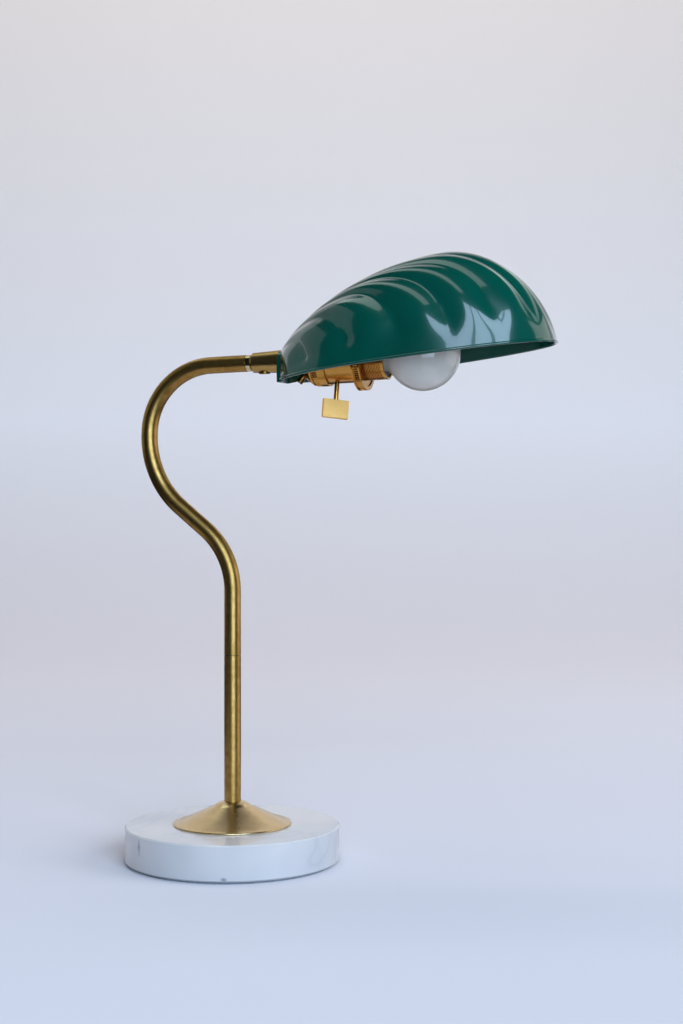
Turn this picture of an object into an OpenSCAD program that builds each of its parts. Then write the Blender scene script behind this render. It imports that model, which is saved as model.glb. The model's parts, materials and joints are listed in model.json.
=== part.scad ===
// Desk lamp: marble base, turning bent brass arm, fluted shell shade and a keyed socket.
// Millimetres. Z runs up the stem from the table, X runs from the stem to the shade's tip.

/* [Base] */
// Diameter of the marble disc
base_d = 162; // [135:1:200]
// Thickness of the marble disc
marble_h = 26; // [22:0.5:40]
// Thickness of the felt pad under the marble
felt_t = 2; // [1:0.5:4]
// How far the felt stays back from the edge of the marble
felt_inset = 4; // [2:0.5:10]
// Eased edge of the marble
marble_edge = 1; // [0.5:0.1:3]
// Diameter of the recess under the marble
recess_d = 60; // [50:1:80]
// Marble left above the recess, which the nut clamps
clamp_h = 8; // [6:0.5:12]
// Diameter of the spun brass cone
cone_d = 89.4; // [60:0.2:110]
// Height of the spun brass cone
cone_h = 17.6; // [12:0.2:26]
// Sheet thickness of the cone
cone_wall = 0.8; // [0.5:0.1:1.2]

/* [Tubes] */
// Outside diameter of the stem and arm tube
tube_d = 12.7; // [11.5:0.1:16]
// Wall of the tube
tube_wall = 1.6; // [1.2:0.1:2]
// Length of the straight lower stem
stem_h = 110; // [60:1:180]
// Straight start of the arm above the swivel
arm_rise = 48.6; // [30:1:90]
// Radius of the first bend, away from the shade
bend1_r = 60; // [40:1:90]
// Angle of the first bend
bend1_a = 50.5; // [30:0.5:60]
// Straight between the first and second bends
arm_slant = 27; // [10:1:60]
// Radius of the second bend, back to upright
bend2_r = 70; // [50:1:100]
// Angle of the second bend
bend2_a = 55.5; // [30:0.5:70]
// Radius of the top bend
bend3_r = 52; // [40:1:80]
// Straight end of the arm that holds the neck
arm_end = 29; // [20:1:60]
// Upward tilt of the head
head_tilt = 1.5; // [0:0.5:10]
// Turn of the head about its own axis at rest
head_turn = 1.7; // [0:0.1:5]

/* [Swivels] */
// Radius of the lower swivel's spigot
spigot_r = 3.9; // [3.6:0.1:4.1]
// Length of a fitting that sits inside a tube
plug_len = 16; // [10:1:20]
// Length of the visible neck ring
neck_len = 4.4; // [3:0.2:8]
// Length of the sleeve behind the shade
sleeve_len = 22.5; // [18:0.5:30]
// Radius of the sleeve's end by the neck
sleeve_r1 = 7.5; // [7.2:0.1:9]
// Radius of the sleeve's end by the shade
sleeve_r2 = 8.5; // [8:0.1:10]

/* [Shade] */
// Length of the shade along the head
shade_len = 207; // [170:1:250]
// Width of the shade at its widest
shade_w = 116; // [96:1:140]
// Height of the dome above the rim
shade_h = 76.5; // [62:0.5:92]
// Thickness of the pressed sheet
shade_wall = 1.2; // [0.8:0.1:1.5]
// Height of the head's axis above the rim at the back
rim_drop = 16.2; // [14:0.1:19]
// Upward slope of the rim against the head's axis
rim_slope = 5.1; // [3:0.1:7]
// Half width of the flat at the back of the shade
back_w = 12; // [11.5:0.5:15]
// Height of the flat at the back of the shade above the hole in it
back_h = 3.1; // [3.1:0.1:5]
// Depth of a flute as a share of its width at the rim
flute_share = 0.09; // [0.03:0.005:0.11]
// Height of the rolled lip
lip_h = 1.6; // [1:0.1:3]
// How far the lip stands out
lip_out = 1.1; // [0.5:0.1:2]

/* [Socket and bulb] */
// Radius of the socket's brass shell
shell_r = 18.8; // [17.5:0.1:22]
// Sheet thickness of the socket's brass pieces
brass_t = 0.7; // [0.5:0.1:0.9]
// Length of the socket's shell
shell_len = 27.7; // [26:0.1:32]
// Gap from the shade's back wall to the socket's cap
cap_gap = 13; // [11:0.5:20]
// Radius of the threaded shade ring
ring_r = 25; // [23:0.5:30]
// Length of thread in front of the ring
thread_len = 15.4; // [12:0.2:22]
// Diameter of the bulb's globe
globe_d = 55; // [46:1:62]
// Width of the key's plate
plate_w = 19.6; // [16:0.1:28]
// Height of the key's plate
plate_h = 13.8; // [10:0.1:20]
// Thickness of the key's plate
plate_t = 4.4; // [4:0.1:6]
// Turn of the key about its own shaft at rest
key_turn = 35; // [0:5:180]
// Lean of the key from straight below the socket
key_lean = 8; // [0:1:30]
// Lean of the key back towards the arm
key_back = 3.8; // [0:0.1:8]

/* [Hidden] */
$fn = 96;

// Clearances
fit = 0.05;        // between pieces that are screwed or pressed together
run = 0.06;        // radial running clearance of a turning fit
face_gap = 0.1;    // between faces that slide on each other
loose = 0.3;       // between curved faces that must never touch
seat = 0.02;       // between end faces that are pressed home
eps = 0.01;        // overshoot of a cut past a face
joint_lap = 0.1;   // how far a lapping disc reaches into each length of a bar
joint_step = 0.02; // how much smaller than the bar the lapping disc is

// Heights in the base
base_r = base_d / 2;
base_top = felt_t + marble_h;
recess_top = base_top - clamp_h;
stem_z = base_top + cone_h;

// Tube fittings
tube_r = tube_d / 2;
tube_bore = tube_r - tube_wall;
plug_r = tube_bore - fit;
cord_r = 2.1;
cord_bore = cord_r + 0.45;

// Nut stack under the marble
washer_t = 1.6;
washer_r = 16;
lock_t = 1.2;
nut_t = 4.5;
nut_flat = plug_r + 2.6;
rod_hole = plug_r + 0.8;
rod_end = recess_top - washer_t - lock_t - nut_t - 0.7;

// Cord inlet at the back of the base
inlet_z = 8.5;
inlet_r = 4.5;
inlet_bore = 3;
inlet_len = 14;
flange_r = 6;
flange_t = 2;
inlet_x = -base_r + 0.5;

// Lower swivel
swivel_z = stem_z + stem_h;
swivel_gap = 0.4;
arm_z = swivel_z + swivel_gap;
clip_t = 1.2;
spring_t = 0.8;
clip_r = tube_bore - loose;
spring_z = arm_z + plug_len + face_gap;
clip_z = spring_z + spring_t;
spigot_top = clip_z + clip_t + 1;

// Cord inside the base, from the inlet up into the stem
harness_from = 16;
harness_bend = 7;
harness_z = rod_end + 1 - harness_bend;
base_harness_path = [[recess_d / 2 - harness_from - harness_bend], [harness_bend, 90],
    [swivel_z - face_gap - harness_z - harness_bend]];

// Arm path: each step is [length] or [radius, angle], and a positive angle turns left
arm_path = [[arm_rise], [bend1_r, bend1_a], [arm_slant], [bend2_r, -bend2_a],
    [bend3_r, -(90 + bend1_a - bend2_a - head_tilt)], [arm_end]];
arm_tip = walk(arm_path, len(arm_path), [0, arm_z, 90]);

// Head, measured along its axis from the end of the arm tube
neck_bar_r = tube_bore - 0.2;
neck_bar_len = 15.6;
neck_bar_end = neck_len + neck_bar_len;
groove_r = neck_bar_r - 0.7;
groove_w = 4.6;
sleeve_x = neck_len + swivel_gap;
sleeve_end = sleeve_x + sleeve_len;
sleeve_screw_x = sleeve_x + 9;
nipple_x = neck_bar_end + 1;
screw_seat = sleeve_r1 - 0.4;
screw_head_r = 4.4;
screw_head_t = 1.5;
screw_r = 1.9;

// Shade outline and profile
collar_len = 2;
dome_len = shade_len - collar_len;
wide_x = 0.395 * dome_len;
crown_x = 0.607 * dome_len;
outline_back = 1.92;
outline_front = 2.37;
profile_back = 1.96;
profile_back_q = 1.16;
profile_front_q = 1.6;
section_n = 2.3;
fan = [0, 7, 14, 20.5, 28.5, 41, 58, 78];
lobe_steps = 5;
row_steps = 26;
lobes = len(fan) - 1;
side_lines = lobes * lobe_steps;
fan_lines = 2 * side_lines;
rim_fade = 0.96;

// Socket, measured along the head's axis
shade_x = sleeve_end;
shade_nut_t = 4;
shade_washer_t = 1.2;
shade_washer_r = plug_r + 1.9;
back_top = rim_drop + plug_r + back_h;
cap_x = shade_x + shade_wall + cap_gap;
cap_neck_r = tube_r + 1.65;
cap_neck_len = 2;
cap_flare = 9.6;
collar_x = cap_x + cap_neck_len + cap_flare + 2.8;
collar_w = 9.7;
collar_in = shell_r + 0.3;
collar_r = shell_r + 1.5;
knurl_w = 3.9;
cap_end = collar_x + 4;
shell_x = cap_end + 0.2;
shell_end = shell_x + shell_len;
ring_w = 6.6;
thread_r = shell_r - 1.1;
thread_depth = 0.45;
thread_pitch = 1.15;
thread_end = shell_end + ring_w + thread_len;
liner_t = 0.5;
liner_r = shell_r - brass_t - fit;
switch_r = liner_r - liner_t - loose;
switch_x = collar_x + 4.8;
switch_len = 18.5;
switch_end = switch_x + switch_len;
key_x = collar_x + 16.7;
key_r = 1.85;
rotor_r = 5.5;
rotor_len = 10;
terminal_y = 9;
terminal_up = 4;
shaft_out = shell_r + 12.5;
shaft_in_plate = 4;
harness_out = 6.3;
notch_w = 5.4;
notch_end = key_x - shell_r * tan(key_back) + notch_w / 2;

// Lamp holder and bulb
holder_x = switch_end + 0.5;
holder_r = thread_r - brass_t - thread_depth - 0.3;
holder_t = 1.3;
holder_end = thread_end - 1.4;
contact_x = holder_x + 2;
lamp_in = holder_r - holder_t;
screw_shell_r = 14.1;
screw_shell_x = holder_x + 3;
bulb_thread_r = 13;
globe_r = globe_d / 2;
tip_x = contact_x + 1.3;
bulb_cap_x = tip_x + 5;
bulb_cap_len = 19;
bulb_neck_r = 11.9;
glass_t = 0.9;
globe_x = thread_end + globe_r - 0.4;
bulb_pitch = 3.6;

// ---------- helpers ----------

// Place and heading after n steps of a path, as [x, z, heading]
function walk(path, n, at) = n == 0 ? at : step(walk(path, n - 1, at), path[n - 1]);

function step(at, s) = len(s) == 1
    ? [at[0] + s[0] * cos(at[2]), at[1] + s[0] * sin(at[2]), at[2]]
    : let (side = sign(s[1]), to = at[2] + s[1])
      [at[0] + side * s[0] * (sin(to) - sin(at[2])),
       at[1] - side * s[0] * (cos(to) - cos(at[2])), to];

// A round bar of radius r along a path, from the origin along +X and bending in the XZ plane.
// A disc a hair smaller laps each joint, so that the lengths make one body.
module bar(path, r, i = 0) {
    if (i < len(path)) {
        s = path[i];
        if (i > 0)
            translate([-joint_lap, 0, 0])
                rotate([0, 90, 0])
                    cylinder(r = r - joint_step, h = 2 * joint_lap);
        if (len(s) == 1) {
            rotate([0, 90, 0])
                cylinder(r = r, h = s[0]);
            translate([s[0], 0, 0])
                bar(path, r, i + 1);
        } else {
            lift = sign(s[1]) * s[0];
            bend_bar(s[0], s[1], r);
            translate([0, 0, lift])
                rotate([0, -s[1], 0])
                    translate([0, 0, -lift])
                        bar(path, r, i + 1);
        }
    }
}

// One bend that starts at the origin along +X and turns up (positive) or down
module bend_bar(bend_r, angle, r) {
    side = sign(angle);
    translate([0, 0, side * bend_r])
        rotate([side > 0 ? 90 : -90, 0, 0])
            rotate([0, 0, -90])
                rotate_extrude(angle = abs(angle))
                    translate([bend_r, 0])
                        circle(r = r);
}

module ring(r_out, r_in, h) {
    difference() {
        cylinder(r = r_out, h = h);
        translate([0, 0, -eps])
            cylinder(r = r_in, h = h + 2 * eps);
    }
}

module hex_nut(flat_r, r_in, h) {
    difference() {
        cylinder(r = flat_r / cos(30), h = h, $fn = 6);
        translate([0, 0, -eps])
            cylinder(r = r_in, h = h + 2 * eps);
    }
}

// Frame of the head: Z runs along its axis from the end of the arm tube
module on_head(x = 0) {
    translate([arm_tip[0], 0, arm_tip[1]])
        rotate([0, -head_tilt, 0])
            rotate([head_turn, 0, 0])
                rotate([0, 90, 0])
                    translate([0, 0, x])
                        children();
}

// Frame of the key: Z runs outwards along its shaft from the head's axis
module on_key() {
    on_head(key_x)
        rotate([0, 0, -key_lean])
            rotate([0, 90 + key_back, 0])
                children();
}

// Ridged sleeve: teeth run along Z
module knurled(r, depth, teeth, h) {
    linear_extrude(h)
        polygon([for (i = [0 : 2 * teeth - 1])
            let (a = 180 * i / teeth, q = i % 2 == 0 ? r : r - depth)
                [q * cos(a), q * sin(a)]]);
}

// Tube with ring-shaped threads outside: profile in rotate_extrude
module threaded_tube(r, depth, pitch, r_in, h) {
    turns = floor(h / pitch);
    side = [for (i = [0 : 2 * turns])
        [i % 2 == 0 ? r - depth : r, i * pitch / 2]];
    rotate_extrude()
        polygon(concat([[r_in, 0]], side, [[r - depth, h], [r_in, h]]));
}

// ---------- base ----------

module felt_pad() {
    color("#2f3a35")
        cylinder(r = base_r - felt_inset, h = felt_t);
}

module marble_base() {
    color("#eeeef0")
        difference() {
            rotate_extrude()
                polygon([[0, felt_t], [base_r - marble_edge, felt_t],
                    [base_r, felt_t + marble_edge], [base_r, base_top - marble_edge],
                    [base_r - marble_edge, base_top], [0, base_top]]);
            translate([0, 0, felt_t - eps])
                cylinder(d = recess_d, h = recess_top - felt_t + eps);
            cylinder(r = rod_hole, h = base_top + 1);
            inlet_channel(inlet_r);
            translate([-base_r - 1, 0, inlet_z])
                rotate([0, 90, 0])
                    cylinder(r = flange_r + fit, h = inlet_x + flange_t + base_r + 1);
        }
}

// Round-topped groove from the recess to the back of the base
module inlet_channel(r) {
    translate([-base_r - 1, 0, inlet_z])
        rotate([0, 90, 0])
            cylinder(r = r, h = base_r + 1 - recess_d / 4);
    translate([-base_r - 1, -r, felt_t - eps])
        cube([base_r + 1 - recess_d / 4, 2 * r, inlet_z - felt_t + eps]);
}

module cord_bushing() {
    color("#2b2a28")
        translate([inlet_x, 0, inlet_z])
            rotate([0, 90, 0])
                difference() {
                    union() {
                        cylinder(r = flange_r, h = flange_t);
                        cylinder(r = inlet_r - fit, h = inlet_len);
                    }
                    translate([0, 0, -eps])
                        cylinder(r = inlet_bore, h = inlet_len + 2 * eps);
                }
}

module base_washer() {
    color("#b9bbbd")
        translate([0, 0, recess_top - washer_t])
            ring(washer_r, plug_r + fit, washer_t);
}

module lock_washer() {
    color("#9fa1a3")
        translate([0, 0, recess_top - washer_t - lock_t])
            ring(nut_flat, plug_r + fit, lock_t);
}

module base_nut() {
    color("#c8a85c")
        translate([0, 0, recess_top - washer_t - lock_t - nut_t])
            hex_nut(nut_flat, plug_r + fit, nut_t);
}

module threaded_rod() {
    color("#b9bbbd")
        translate([0, 0, rod_end])
            ring(plug_r, cord_bore, stem_z + plug_len - rod_end);
}

function cone_z(t) = base_top + cone_wall + (cone_h - 2.4 - cone_wall) * pow(t, 1.12);

module base_cone() {
    cone_r = cone_d / 2;
    top_r = 12;
    steps = 10;
    outer = [for (i = [0 : steps])
        let (t = i / steps)
            [cone_r + (top_r - cone_r) * t, cone_z(t)]];
    inner = [for (i = [steps : -1 : 0])
        let (t = i / steps)
            [cone_r - cone_wall + (top_r - cone_r) * t, cone_z(t) - cone_wall]];
    color("#cdb27c")
        rotate_extrude()
            polygon(concat([[cone_r, base_top]], outer,
                [[top_r - 1.2, stem_z - 0.7], [top_r - 3, stem_z], [plug_r + fit, stem_z],
                 [plug_r + fit, stem_z - cone_wall], [top_r - 3.4, stem_z - cone_wall],
                 [top_r - 2, stem_z - 1.5]],
                inner, [[cone_r - cone_wall, base_top]]));
}

module stem_tube() {
    color("#8f7339")
        translate([0, 0, stem_z])
            ring(tube_r, tube_bore, stem_h);
}

module swivel_spigot() {
    color("#b6953f")
        difference() {
            union() {
                translate([0, 0, swivel_z - plug_len])
                    cylinder(r = plug_r, h = plug_len);
                translate([0, 0, swivel_z - eps])
                    cylinder(r = spigot_r, h = spigot_top - swivel_z + eps);
            }
            translate([0, 0, swivel_z - plug_len - eps])
                cylinder(r = cord_bore, h = spigot_top - swivel_z + plug_len + 2 * eps);
        }
}

module swivel_washer() {
    color("#3a3630")
        translate([0, 0, swivel_z])
            ring(tube_r - 0.5, spigot_r + fit, swivel_gap - face_gap);
}

module swivel_spring() {
    color("#a4a6a8")
        translate([0, 0, spring_z])
            ring(clip_r, spigot_r + fit, spring_t);
}

module swivel_clip() {
    color("#a4a6a8")
        translate([0, 0, clip_z])
            ring(clip_r, spigot_r + fit / 2, clip_t);
}

module terminal_block() {
    block = [13, 18, 8];
    color("#e9e6dc")
        translate([-recess_d / 2 + 3, -block[1] / 2, felt_t])
            difference() {
                cube(block);
                for (side = [-1, 1])
                    translate([block[0] / 2, block[1] / 2 + side * block[1] / 4, block[2] - 3])
                        cylinder(r = 1.8, h = 4);
            }
}

module base_harness() {
    color("#d8c9a0")
        translate([-recess_d / 2 + harness_from, 0, harness_z])
            bar(base_harness_path, cord_r);
}

// ---------- arm ----------

// Frame of the arm's path: X runs up from the swivel
module on_arm() {
    translate([0, 0, arm_z])
        rotate([0, -90, 0])
            children();
}

module arm_tube() {
    color("#8f7339")
        difference() {
            on_arm()
                bar(arm_path, tube_r);
            on_arm()
                bar(arm_path, tube_bore);
        }
}

module arm_bushing() {
    color("#b6953f")
        translate([0, 0, arm_z])
            ring(plug_r, spigot_r + run, plug_len);
}

module neck_spigot() {
    chamfer = 0.5;
    ring_r1 = tube_r - 0.15;
    plug = arm_end / 2;
    groove_x = sleeve_screw_x - groove_w / 2;
    color("#c9a95a")
        on_head()
            rotate_extrude()
                polygon([[cord_bore, -plug], [plug_r, -plug], [plug_r, seat],
                    [ring_r1 - chamfer, seat], [ring_r1, chamfer], [ring_r1, neck_len - chamfer],
                    [ring_r1 - chamfer, neck_len], [neck_bar_r, neck_len],
                    [neck_bar_r, groove_x], [groove_r, groove_x],
                    [groove_r, groove_x + groove_w], [neck_bar_r, groove_x + groove_w],
                    [neck_bar_r, neck_bar_end], [cord_bore, neck_bar_end]]);
}

module neck_washer() {
    color("#3a3630")
        on_head(neck_len)
            ring(tube_r - 0.7, neck_bar_r + run, swivel_gap - face_gap);
}

module arm_harness() {
    color("#d8c9a0")
        on_arm()
            bar(concat([for (i = [0 : len(arm_path) - 2]) arm_path[i]],
                [[arm_end + neck_len + neck_bar_len]]), cord_r);
}

// ---------- head: sleeve and shade ----------

module shade_sleeve() {
    chamfer = 0.8;
    color("#a98a45")
        difference() {
            on_head()
                rotate_extrude()
                    polygon([[neck_bar_r + run, sleeve_x], [sleeve_r1 - chamfer, sleeve_x],
                        [sleeve_r1, sleeve_x + chamfer], [sleeve_r2, sleeve_end],
                        [tube_bore, sleeve_end], [tube_bore, nipple_x - 0.5],
                        [neck_bar_r + run, nipple_x - 0.5]]);
            on_screw()
                translate([0, 0, screw_seat])
                    cylinder(r = screw_head_r + fit, h = 4);
            on_screw()
                cylinder(r = screw_r + fit, h = screw_seat + eps);
        }
}

// Frame of the sleeve's screw: Z points down and out of the sleeve
module on_screw() {
    on_head(sleeve_screw_x)
        rotate([0, 90, 0])
            children();
}

module sleeve_screw() {
    slot_w = 1.2;
    color("#6b5a35")
        on_screw()
            difference() {
                union() {
                    translate([0, 0, groove_r + loose])
                        cylinder(r = screw_r, h = screw_seat - groove_r - loose + eps);
                    translate([0, 0, screw_seat])
                        cylinder(r = screw_head_r, h = screw_head_t);
                }
                translate([-screw_head_r - 1, -slot_w / 2, screw_seat + screw_head_t - 1])
                    cube([2 * screw_head_r + 2, slot_w, 2]);
            }
}

module head_nipple() {
    color("#b9bbbd")
        on_head(nipple_x)
            ring(plug_r, cord_bore, cap_x + 5 - nipple_x);
}

// Half width of the rim at x along the dome
function rim_w(x) = x < wide_x
    ? shade_w / 2 * pow(1 - pow((wide_x - x) / (wide_x + rim_back), outline_back),
        1 / outline_back)
    : shade_w / 2 * pow(max(0, 1 - pow((x - wide_x) / (dome_len - wide_x), outline_front)),
        1 / outline_front);

// Extra length that leaves the outline back_w wide at the back wall
rim_back = wide_x * (pow(1 - pow(2 * back_w / shade_w, outline_back), -1 / outline_back) - 1);

// Height of the middle of the dome at x
function dome_h(x) = x < crown_x
    ? back_top + (shade_h - back_top) * pow(1 - pow((crown_x - x) / crown_x, profile_back),
        1 / profile_back_q)
    : shade_h * pow(max(0, 1 - pow((x - crown_x) / (dome_len - crown_x), 2)),
        1 / profile_front_q);

// Distance from the back wall's middle to the rim along a fan line, found by halving
function rim_dist(a, low = 0, high = dome_len * 1.2, n = 24) =
    let (mid = (low + high) / 2)
        n == 0 ? mid
        : mid * cos(a) < dome_len && mid * sin(a) < rim_w(mid * cos(a))
            ? rim_dist(a, mid, high, n - 1) : rim_dist(a, low, mid, n - 1);

// Smooth dome point on the fan line of angle a, u from 0 at the back to 1 at the rim
function dome_pt(a, u) =
    let (far = rim_dist(abs(a)), side = a < 0 ? -1 : 1, most = fan[lobes],
        y0 = back_w * abs(a) / most,
        x = far * cos(a) * u,
        y = y0 + (far * sin(abs(a)) - y0) * u,
        share = min(1, y / rim_w(x)),
        z = abs(a) >= most ? lip_h * u
            : lip_h + (dome_h(x) - lip_h) * pow(max(0, 1 - pow(share, section_n)), 1 / section_n))
        [x, side * y, u == 1 ? lip_h : z];

// Angle of a fan line, and its place across its flute from 0 to 1
function line_angle(j) =
    let (k = abs(j - side_lines), lobe = min(floor(k / lobe_steps), lobes - 1),
        t = k / lobe_steps - lobe)
        (j < side_lines ? -1 : 1) * (fan[lobe] + (fan[lobe + 1] - fan[lobe]) * t);

function lobe_t(j) = let (k = abs(j - side_lines) / lobe_steps) k - floor(k);

function lobe_width(j) =
    let (lobe = min(floor(abs(j - side_lines) / lobe_steps), lobes - 1),
        p = dome_pt(fan[lobe], 1), q = dome_pt(fan[lobe + 1], 1))
        norm(p - q);

// Direction from a dome point to the middle of the rim plane
function inward(p) = let (v = [dome_len / 2, 0, 0] - p) v / norm(v);

function flute(j, u) =
    flute_share * lobe_width(j) * u * (1 - sin(180 * lobe_t(j)))
        * (u > rim_fade ? 1 - pow((u - rim_fade) / (1 - rim_fade), 2) : 1);

function row_u(i) = (1 - cos(180 * i / row_steps)) / 2;

function outer_pt(j, u) =
    let (p = dome_pt(line_angle(j), u)) p + flute(j, u) * inward(p);

function inner_pt(j, u) =
    let (p = outer_pt(j, u), v = inward(p),
        d = u == 0 ? [0, -p[1], -p[2]] / norm([0, p[1], p[2] + eps]) : v)
        p + shade_wall * d;

function shift_x(p, x) = [p[0] + x, p[1], p[2]];

// One closed section of the sheet along a fan line
function section(j) =
    let (rim = outer_pt(j, 1), out = -lip_out * [inward(rim)[0], inward(rim)[1], 0],
        hem = inner_pt(j, 1))
        concat([shift_x(outer_pt(j, 0), -collar_len)],
            [for (i = [0 : row_steps]) outer_pt(j, row_u(i))],
            [rim + out, [rim[0] + out[0], rim[1] + out[1], 0], [hem[0], hem[1], 0]],
            [for (i = [row_steps : -1 : 0]) inner_pt(j, row_u(i))],
            [shift_x(inner_pt(j, 0), -collar_len)]);

// Rim plane in the head's frame: the slope is a shear, so sections stay upright
module on_rim() {
    translate([arm_tip[0], 0, arm_tip[1]])
        rotate([0, -head_tilt, 0])
            rotate([head_turn, 0, 0])
                translate([shade_x, 0, -rim_drop])
                    children();
}

function slope_pt(p) = [p[0] + collar_len, p[1], p[2] + (p[0] + collar_len) * tan(rim_slope)];

module shade() {
    m = 2 * row_steps + 7;
    points = [for (j = [0 : fan_lines]) each [for (p = section(j)) slope_pt(p)]];
    sides = [for (j = [0 : fan_lines - 1], i = [0 : m - 1])
        let (a = j * m + i, b = j * m + (i + 1) % m, c = a + m, d = b + m)
            each [[a, d, b], [a, c, d]]];
    ends = [for (i = [0 : floor(m / 2) - 1])
        let (a = i, b = i + 1, c = m - 1 - i, d = m - 2 - i, s = fan_lines * m)
            each b == d ? [[a, b, c], [s + a, s + c, s + b]]
                : [[a, d, c], [a, b, d], [s + a, s + c, s + d], [s + a, s + d, s + b]]];
    arch = [for (j = [0 : fan_lines])
        let (p = outer_pt(j, 0)) [p[2], p[1]] * (1 - shade_wall / 2 / back_w)];
    color("#006a55")
        on_rim() {
            polyhedron(points = points, faces = concat(sides, ends));
            difference() {
                rotate([0, 90, 0])
                    mirror([1, 0, 0])
                        linear_extrude(shade_wall)
                            polygon(arch);
                translate([-1, 0, rim_drop])
                    rotate([0, 90, 0])
                        cylinder(r = plug_r + 0.15, h = shade_wall + 2);
            }
        }
}

module shade_washer() {
    color("#c8a85c")
        on_head(shade_x + shade_wall)
            ring(shade_washer_r, plug_r + fit, shade_washer_t);
}

module shade_nut() {
    color("#c8a85c")
        on_head(shade_x + shade_wall + shade_washer_t)
            hex_nut(plug_r + 1.1, plug_r + fit, shade_nut_t);
}

// ---------- head: socket ----------

module socket_cap() {
    steps = 8;
    cap_round = 0.35;
    lip_r = shell_r + 0.2;
    outer = [for (i = [0 : steps])
        let (t = i / steps)
            [cap_neck_r + (lip_r - cap_neck_r) * (cap_round * sin(90 * t) + (1 - cap_round) * t),
             cap_x + cap_neck_len + cap_flare * (cap_round * (1 - cos(90 * t))
                + (1 - cap_round) * t)]];
    inner = [for (i = [steps : -1 : 0])
        [outer[i][0] - brass_t, outer[i][1] + brass_t]];
    flare_end = cap_x + cap_neck_len + cap_flare;
    color("#b98a3a")
        difference() {
            on_head()
                rotate_extrude()
                    polygon(concat([[plug_r + fit, cap_x], [cap_neck_r, cap_x]], outer,
                        [[lip_r, flare_end + 0.4], [lip_r + 0.7, flare_end + 0.8],
                         [lip_r + 0.7, flare_end + 1.8], [lip_r, flare_end + 2.2],
                         [lip_r, cap_end], [lip_r - brass_t, cap_end]],
                        inner, [[plug_r + fit, outer[0][1] + brass_t]]));
            on_cap_screw()
                translate([0, 0, -8])
                    cylinder(r = screw_r + fit, h = 16);
        }
}

// Frame of the cap's screw: Z points out of the flare, down and back
module on_cap_screw() {
    on_head(cap_x + cap_neck_len + 2.6)
        rotate([0, 0, -12])
            translate([cap_neck_r + 3.6, 0, 0])
                rotate([0, 125, 0])
                    children();
}

module cap_screw() {
    head_r = 2.4;
    head_len = 4.6;
    in_cap = 4;
    out = 2.45;
    color("#8a6a2f")
        on_cap_screw()
            difference() {
                union() {
                    translate([0, 0, -in_cap])
                        cylinder(r = screw_r, h = in_cap + out);
                    translate([0, 0, out])
                        cylinder(r = head_r, h = head_len);
                }
                translate([-head_r - 1, -0.5, out + head_len - 1])
                    cube([2 * head_r + 2, 1, 2]);
            }
}

module knurled_collar() {
    color("#b98a3a")
        on_head(collar_x)
            difference() {
                union() {
                    knurled(collar_r, 0.4, 72, knurl_w);
                    translate([0, 0, knurl_w])
                        cylinder(r = collar_r + 0.2, h = collar_w - knurl_w);
                }
                translate([0, 0, -eps])
                    cylinder(r = collar_in, h = collar_w + 2 * eps);
            }
}

// Notch that lets the key's shaft in from the back edge of a shell
module key_notch() {
    on_head(shell_x - 1)
        rotate([0, 0, -key_lean])
            translate([0, -notch_w / 2, 0])
                cube([shell_r + 5, notch_w, notch_end - shell_x + 1]);
}

module socket_shell() {
    color("#b98a3a")
        difference() {
            on_head()
                rotate_extrude()
                    polygon([[shell_r - brass_t, shell_x], [shell_r, shell_x],
                        [shell_r, shell_end], [thread_r + fit, shell_end],
                        [thread_r + fit, shell_end - brass_t],
                        [shell_r - brass_t, shell_end - brass_t]]);
            key_notch();
        }
}

module shell_liner() {
    color("#c9b68f")
        difference() {
            on_head(shell_x + 0.5)
                ring(liner_r, liner_r - liner_t, switch_end - shell_x - 1);
            key_notch();
        }
}

module switch_body() {
    color("#2a211b")
        difference() {
            on_head(switch_x)
                cylinder(r = switch_r, h = switch_len);
            on_key()
                translate([0, 0, -rotor_len / 2 - loose])
                    cylinder(r = rotor_r + loose, h = rotor_len + 2 * loose);
            on_key()
                cylinder(r = key_r + run, h = switch_r + 1);
            terminal_places()
                translate([0, 0, -eps])
                    cylinder(r = 1.5, h = 5.2);
        }
}

module terminal_places() {
    for (side = [-1, 1])
        on_head(switch_x)
            translate([-terminal_up, side * terminal_y, 0])
                children();
}

module terminal_screws() {
    color("#c9a24a")
        terminal_places() {
            translate([0, 0, -2])
                cylinder(r = 3, h = 2);
            translate([0, 0, -eps])
                cylinder(r = 1.4, h = 5);
        }
}

// Two wires from the end of the cord to the terminal screws
module lead_wires() {
    from_x = cap_x + harness_out + 0.7;
    to_x = switch_x - 2.8;
    run_y = terminal_y - 1.2;
    reach = norm([run_y, terminal_up, to_x - from_x]);
    color("#3b3b3b")
        for (side = [-1, 1])
            on_head(from_x)
                translate([0, side * 1.2, 0])
                    rotate([0, 0, atan2(side * run_y, -terminal_up)])
                        rotate([0, acos((to_x - from_x) / reach), 0])
                            cylinder(r = 0.8, h = reach);
}

module lamp_insulator() {
    color("#c9cbcd")
        on_head(holder_x)
            difference() {
                cylinder(r = holder_r, h = holder_end - holder_x);
                translate([0, 0, 2])
                    cylinder(r = lamp_in, h = holder_end - holder_x);
                translate([0, 0, -1])
                    cylinder(r = 1.6, h = 4);
            }
}

module screw_shell() {
    color("#c3a45a")
        on_head(screw_shell_x)
            threaded_tube(screw_shell_r, 0.3, bulb_pitch, bulb_thread_r + 0.35,
                holder_end - screw_shell_x - 3);
}

module centre_contact() {
    color("#c3a45a")
        on_head(contact_x) {
            cylinder(r = 4, h = 0.8);
            translate([0, 0, switch_end + fit - contact_x])
                cylinder(r = 1.5, h = contact_x - switch_end - fit + eps);
        }
}

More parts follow.
